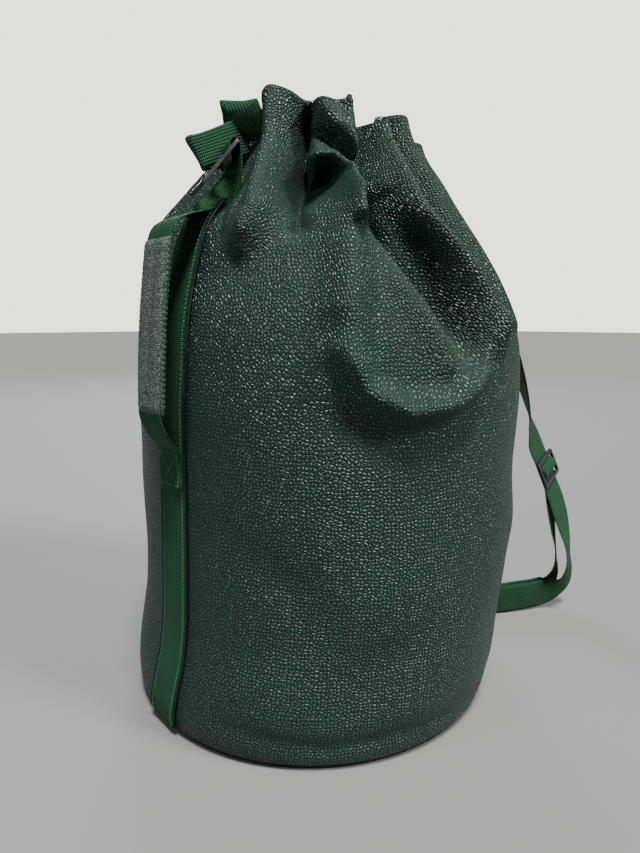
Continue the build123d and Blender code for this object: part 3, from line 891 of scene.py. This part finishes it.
def make_grip():
    """The padded grip folded round the webbing, closed and puckered at both ends, with its
    stitching: one row down the middle and a zigzag down each edge."""
    low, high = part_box("handle_grip")
    bottom, top = low.z - 4 * MM, high.z + 5 * MM
    run = np.linspace(0, 1, 90)
    height = bottom + (top - bottom) * run
    bow = GRIP_BOW * np.sin(pi * run)
    middle = (low.x + high.x) / 2
    slant = (high.x - low.x - 9 * MM) * (run - 0.5)
    centre = np.stack([middle + slant - bow, GRIP_DRIFT + 0 * run, height], axis=-1)
    width = high.y - low.y
    tangent = unit(np.gradient(centre, axis=0))
    side = np.tile(ACROSS, (len(run), 1))
    normal = np.cross(tangent, side)
    steps = np.linspace(-1, 1, 41)
    closing = np.clip(np.minimum(run, 1 - run) / 0.035, 0, 1) ** 0.5
    pucker = 1 + 0.05 * np.sin(run * 61) + 0.04 * np.sin(run * 143 + 1)
    points = []
    for c, s, n, shut, crimp in zip(centre, side, normal, closing, pucker):
        half = grip_section(steps) * (0.35 + 0.65 * shut * crimp) * GRIP_THICK / 2
        points.extend(c + s * a * width / 2 + n * h for a, h in zip(steps, half))
        points.extend(c + s * a * width / 2 - n * h for a, h in zip(steps[::-1], half[::-1]))
    faces = ring_faces(len(run), 2 * len(steps))
    grip = mesh_object("handle_grip_pad", points, faces, [GRIP_LEATHER])
    stand_in(grip, "handle_grip", "handle")
    inner = slice(3, -3)
    for face, word in ((1, "inner"), (-1, "outer")):
        line = centre[inner] + normal[inner] * face * GRIP_THICK * 0.09
        out = normal[inner] * face
        middle_row = stitches(f"grip_stitch_{word}", line, out, *GRIP_STITCH, BLACK_THREAD)
        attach(middle_row, "handle")
        for lateral, edge_word in ((-1, "front"), (1, "back")):
            edge = line + side[inner] * lateral * width * 0.455
            zigzag = stitches(f"grip_zigzag_{word}_{edge_word}", edge, out, *EDGE_ZIGZAG,
                              GREEN_THREAD, zigzag=1.3 * MM, side=side[inner])
            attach(zigzag, "handle")


def make_box_stitch():
    """The crossed box that sews down the handle's lower end."""
    count = 30
    sewn = np.array([seam_point(-1, z, 4.3 * MM) for z in np.linspace(0.231, 0.259, count)])
    away = (-1.0, 0.0, 0.04)
    half_box = np.array([0, WEBBING / 2 - 4 * MM, 0])
    sweep = np.linspace(-1, 1, count)[:, None] * half_box
    rows = {
        "left": sewn - half_box,
        "right": sewn + half_box,
        "rising": sewn + sweep,
        "falling": sewn - sweep,
        "low": sewn[0] + sweep,
        "high": sewn[-1] + sweep,
    }
    for word, line in rows.items():
        normals = np.tile(away, (len(line), 1))
        row = stitches(f"handle_box_{word}", line, normals, *BOX_STITCH, GREEN_THREAD)
        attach(row, "bag")


# ---------------------------------------------------------------- closure and drawstring
SLIDE_TOP = np.array(JOINTS["closure_slide_pivot"]["pos_m"])
SLIDE_BAR = np.array(JOINTS["closure_slide_pivot"]["axis"])


# The tab from the seam over the slide's bar and back: steps into the bag and up from the bar, in
# millimetres, and how far the webbing is turned from the bar to lie on the leather.
TAB_ROUTE = [
    (29.5, -62, 1), (18, -50, 0.95), (7.5, -38, 0.75), (0.5, -25, 0.45), (-4, -9, 0.1),
    (-4.2, 1, 0), (0, 5, 0), (4.2, 1, 0), (3.8, -8, 0), (3.4, -15, 0),
]
TAB_LYING = np.array([0.66, -0.64, 0.38])
TAB_WIDTH = 34 * MM

# The pull loops: points in millimetres, and the direction of the webbing's width at each.
UPPER_LOOP = [
    (-88, -8, 526), (-96, -11, 535), (-103, -10, 549), (-102, -2, 555),
    (-95, 5, 549), (-90, 9, 536), (-84, 10, 528),
]
UPPER_LOOP_SIDES = [(0.73, -0.68, -0.1)] * 3 + [(0.73, -0.68, 0.0)] * 4
LOWER_LOOP = [
    (-98, -4, 527), (-112, -6, 521), (-128, 1, 514), (-137, 9, 510),
    (-132, 17, 510), (-118, 18, 514), (-102, 15, 522),
]
LOWER_LOOP_SIDES = [(0.1, -0.2, -0.97), (0.2, -0.3, -0.93)] + [(0.28, -0.47, -0.84)] * 5
# The webbing in the channel runs this far below the rim.
CHANNEL_DROP = 19 * MM


def make_closure():
    """The webbing tab that holds the black slide: sewn to the seam, over the bar and back."""
    away = np.cross(SLIDE_BAR, (0, 0, 1.0)) * -1
    path = np.array([SLIDE_TOP + away * a * MM + np.array([0, 0, b * MM]) for a, b, _ in TAB_ROUTE])
    turned = np.array([turn for _, _, turn in TAB_ROUTE])[:, None]
    sides = unit(-SLIDE_BAR * (1 - turned) + TAB_LYING * turned)
    tab = band("closure_tab", path, sides, TAB_WIDTH, WEBBING_THICK)
    stand_in(tab, "slide_tab", "bag")


def make_drawstring():
    """Webbing in the channel round the mouth, and its two loops at the handle seam."""
    bearing = np.linspace(10, 350, 500)
    height = curve(bearing, RIM) * MM - CHANNEL_DROP
    path = skin(bearing, height)
    inward = -nearly_level(skin_normal(bearing, height))
    rising = unit(skin(bearing, height + 2 * MM) - skin(bearing, height - 2 * MM))
    ring = band("mouth_webbing", path + inward * 1.3 * HEM_ROLL, rising, 9 * MM, 0.7 * MM)
    stand_in(ring, "mouth_drawstring", "bag")
    for name, points, sides in (("drawstring_upper_loop", UPPER_LOOP, UPPER_LOOP_SIDES),
                                ("drawstring_lower_loop", LOWER_LOOP, LOWER_LOOP_SIDES)):
        path = np.array(points) * MM
        loop = band(f"{name}_webbing", path, sides, LOOP_WEBBING, WEBBING_THICK, step=1.5 * MM)
        stand_in(loop, name, "drawstring_pull")


# ---------------------------------------------------------------- shoulder strap
STRAP_BASE = np.array(JOINTS["strap_swing"]["pos_m"])
STRAP_AXIS = unit(np.array(JOINTS["strap_swing"]["axis"]))
STRAP_TURN = radians(-55)
STRAP_OUT = np.cross(ACROSS, STRAP_AXIS) * cos(STRAP_TURN) + np.array(ACROSS) * sin(STRAP_TURN)
STRAP_FACE = np.cross(STRAP_AXIS, STRAP_OUT)
STRAP_SPAN = 492.6

# The strap's two runs, from the top anchor down and from the adjuster down, past the table and
# round to the ring: reach, height, bow and twist, in millimetres and degrees.
LONG_RUN = [
    (25, STRAP_SPAN - 28, 0, 0), (61, STRAP_SPAN - 72, 0, -6), (88, STRAP_SPAN - 112, 0, -12),
    (110, STRAP_SPAN - 160, 0, -16), (123, 280, 0, -16), (132, 236, 0, -4), (137, 212, 0, 14),
    (143, 192, 0, 27), (150, 170, 0, 27), (154.3, 156, 0, 27), (158.5, 142, 0, 27),
    (166, 118, 0, 30), (172, 88, 0, 28), (176, 56, 0, 18), (177, 30, 0, 16), (175, 10, 1, 30),
    (168, -4, 3, 52), (156, -10, 7, 74), (140, -11.5, 14, 88), (112, -9, 28, 90),
    (76, -5.5, 41, 90), (42, -2.5, 33, 90), (24, -0.5, 9, 90), (19.5, -0.2, -1, 90),
    (17.5, 0, -3.2, 90),
]
RETURN_RUN = [
    (150.2, 169, 0, 27), (151.7, 164.5, 0, 27), (153.1, 160, 0, 27), (154.3, 156, 0, 27),
    (155.5, 152, 0, 27), (156.9, 147.5, 0, 27), (158.2, 143, 0, 27), (158, 130, 0, 26),
    (158, 110, 0, 24), (159, 78, 0, 16), (161.5, 50, 0, 8), (161, 26, 0, 14), (156, 6, 2, 40),
    (147, -5, 6, 68), (132, -8.5, 13, 86), (110, -7.5, 21, 90), (76, -4.5, 33, 90),
    (46, -2, 25, 90), (26, 0, 4, 90), (20, 0, 3.2, 90),
]
# The long run's station at the adjuster, the stations where it passes behind the frame and how
# far behind, and how the return run weaves over the frame's bars, in millimetres.
AT_ADJUSTER = 9
BEHIND_FRAME = slice(6, 13)
BEHIND = [1.5, 4.4, 4.4, 4.4, 4.4, 4.4, 2.5]
WEAVE = [-2.6, -2.3, 1.9, 2.8, 1.9, -2.3, -2.6, -2.2, -1.0]
TOP_END_HEIGHTS = (536, 526, 516, 507)
# The tab at the strap's foot, folded round the ring's bar: steps out of the bag and across.
BASE_TAB = [
    (-13, 20), (-12.8, 9), (-8, 4.6), (0, 3.9), (4.0, 0),
    (0, -3.9), (-8, -4.6), (-12.8, -9), (-13, -20),
]


def strap_route(stations):
    """Centres and width directions from (reach, height, bow, twist): millimetres and degrees."""
    centres = np.array([
        STRAP_BASE + (STRAP_OUT * reach + STRAP_AXIS * height - STRAP_FACE * bow) * MM
        for reach, height, bow, _ in stations
    ])
    twist = np.radians([station[3] for station in stations])[:, None]
    tangent = unit(np.gradient(centres, axis=0))
    return centres, STRAP_FACE * np.cos(twist) + np.cross(tangent, STRAP_FACE) * np.sin(twist)


def make_adjuster(place, run, side):
    """The adjuster's frame, turned with the strap where the strap passes through it."""
    node = frame["nodes"]["tri_glide"]
    points = node_points("tri_glide")
    middle = (points.min(axis=0) + points.max(axis=0)) / 2
    run_was = unit(np.array(JOINTS["adjuster_slide"]["axis"]))
    side_was = -STRAP_FACE
    was = np.stack([run_was, side_was, np.cross(run_was, side_was)])
    side = unit(side - run * np.dot(side, run))
    now = np.stack([run, side, np.cross(run, side)])
    turned = place + (points - middle) @ was.T @ now
    faces = [tuple(p.vertices) for p in node.data.polygons]
    glide = mesh_object("adjuster_frame", turned, faces, [BLACK_PLASTIC])
    glide.data.polygons.foreach_set("use_smooth", [False] * len(faces))
    stand_in(glide, "tri_glide", "strap_adjuster")


def make_long_run():
    """The shoulder strap's long run, its top end sewn to the seam.  Returns its free stations, the
    direction out of its face and +1 or -1 for the face that the camera sees."""
    free, free_sides = strap_route(LONG_RUN)
    outer = np.cross(unit(np.gradient(free, axis=0)), free_sides)
    facing = np.sign(outer[AT_ADJUSTER] @ (np.array(CAMERA_PLACE) - free[AT_ADJUSTER]))
    free[BEHIND_FRAME] -= outer[BEHIND_FRAME] * np.array(BEHIND)[:, None] * MM * facing
    patch = [seam_point(1, z * MM, 3.2 * MM) for z in TOP_END_HEIGHTS]
    sewn = len(patch)
    centres = np.vstack([patch, free])
    sides = np.vstack([[ACROSS] * sewn, free_sides])
    sides[sewn] = unit(sides[sewn] + np.array([0, 0.35, 0]))
    cut = sewn + 2
    upper = band("strap_upper_webbing", centres[:cut + 1], sides[:cut + 1], WEBBING, WEBBING_THICK)
    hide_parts("strap_top_end")
    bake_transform(upper)
    main = band("strap_long_webbing", centres[cut:], sides[cut:], WEBBING, WEBBING_THICK)
    stand_in(main, "strap_webbing", "shoulder_strap")
    return free_sides, outer, facing


def make_return_run(outward):
    """The strap's return run, from its end woven through the adjuster down to the ring."""
    back, back_sides = strap_route(RETURN_RUN)
    back[:len(WEAVE)] += outward * np.array(WEAVE)[:, None] * MM
    run = band("strap_return_webbing", back, back_sides, WEBBING - 2 * MM, WEBBING_THICK)
    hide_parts("strap_return_run", "strap_end_loop")
    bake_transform(run)


def make_base_tab():
    """The tab sewn to the foot of the strap seam, folded round the ring's bar."""
    outward = np.cross(ACROSS, STRAP_AXIS)
    path = np.array([STRAP_BASE + (outward * a + np.array(ACROSS) * b) * MM for a, b in BASE_TAB])
    sides = [STRAP_AXIS] * len(path)
    tab = band("strap_base_webbing", path, sides, WEBBING - 1 * MM, WEBBING_THICK)
    stand_in(tab, "strap_base_tab", "bag")


def make_strap():
    free_sides, outer, facing = make_long_run()
    reach, height, _, _ = LONG_RUN[AT_ADJUSTER]
    place = STRAP_BASE + (STRAP_OUT * reach + STRAP_AXIS * height) * MM
    glide_run = unit(np.array(JOINTS["adjuster_slide"]["axis"]))
    make_adjuster(place, glide_run, -free_sides[AT_ADJUSTER])
    make_return_run(outer[AT_ADJUSTER] * facing)
    make_base_tab()


make_camera()
make_stage()
make_panel("front_leather", 0, 180, ("front_panel", "front_hem"))
make_panel("back_leather", 180, 360, ("back_panel", "back_hem"))
make_base()
make_side("handle_side_band", -1, "handle_side_webbing", "handle_side_seam_tape")
make_side("strap_side_band", 1, "strap_side_webbing", "strap_side_seam_tape")
make_handle_webbing()
make_grip()
make_box_stitch()
make_closure()
make_drawstring()
make_strap()

for node_name in ("closure_slide", "strap_ring"):
    frame["nodes"][node_name].data.materials.clear()
    frame["nodes"][node_name].data.materials.append(BLACK_PLASTIC)
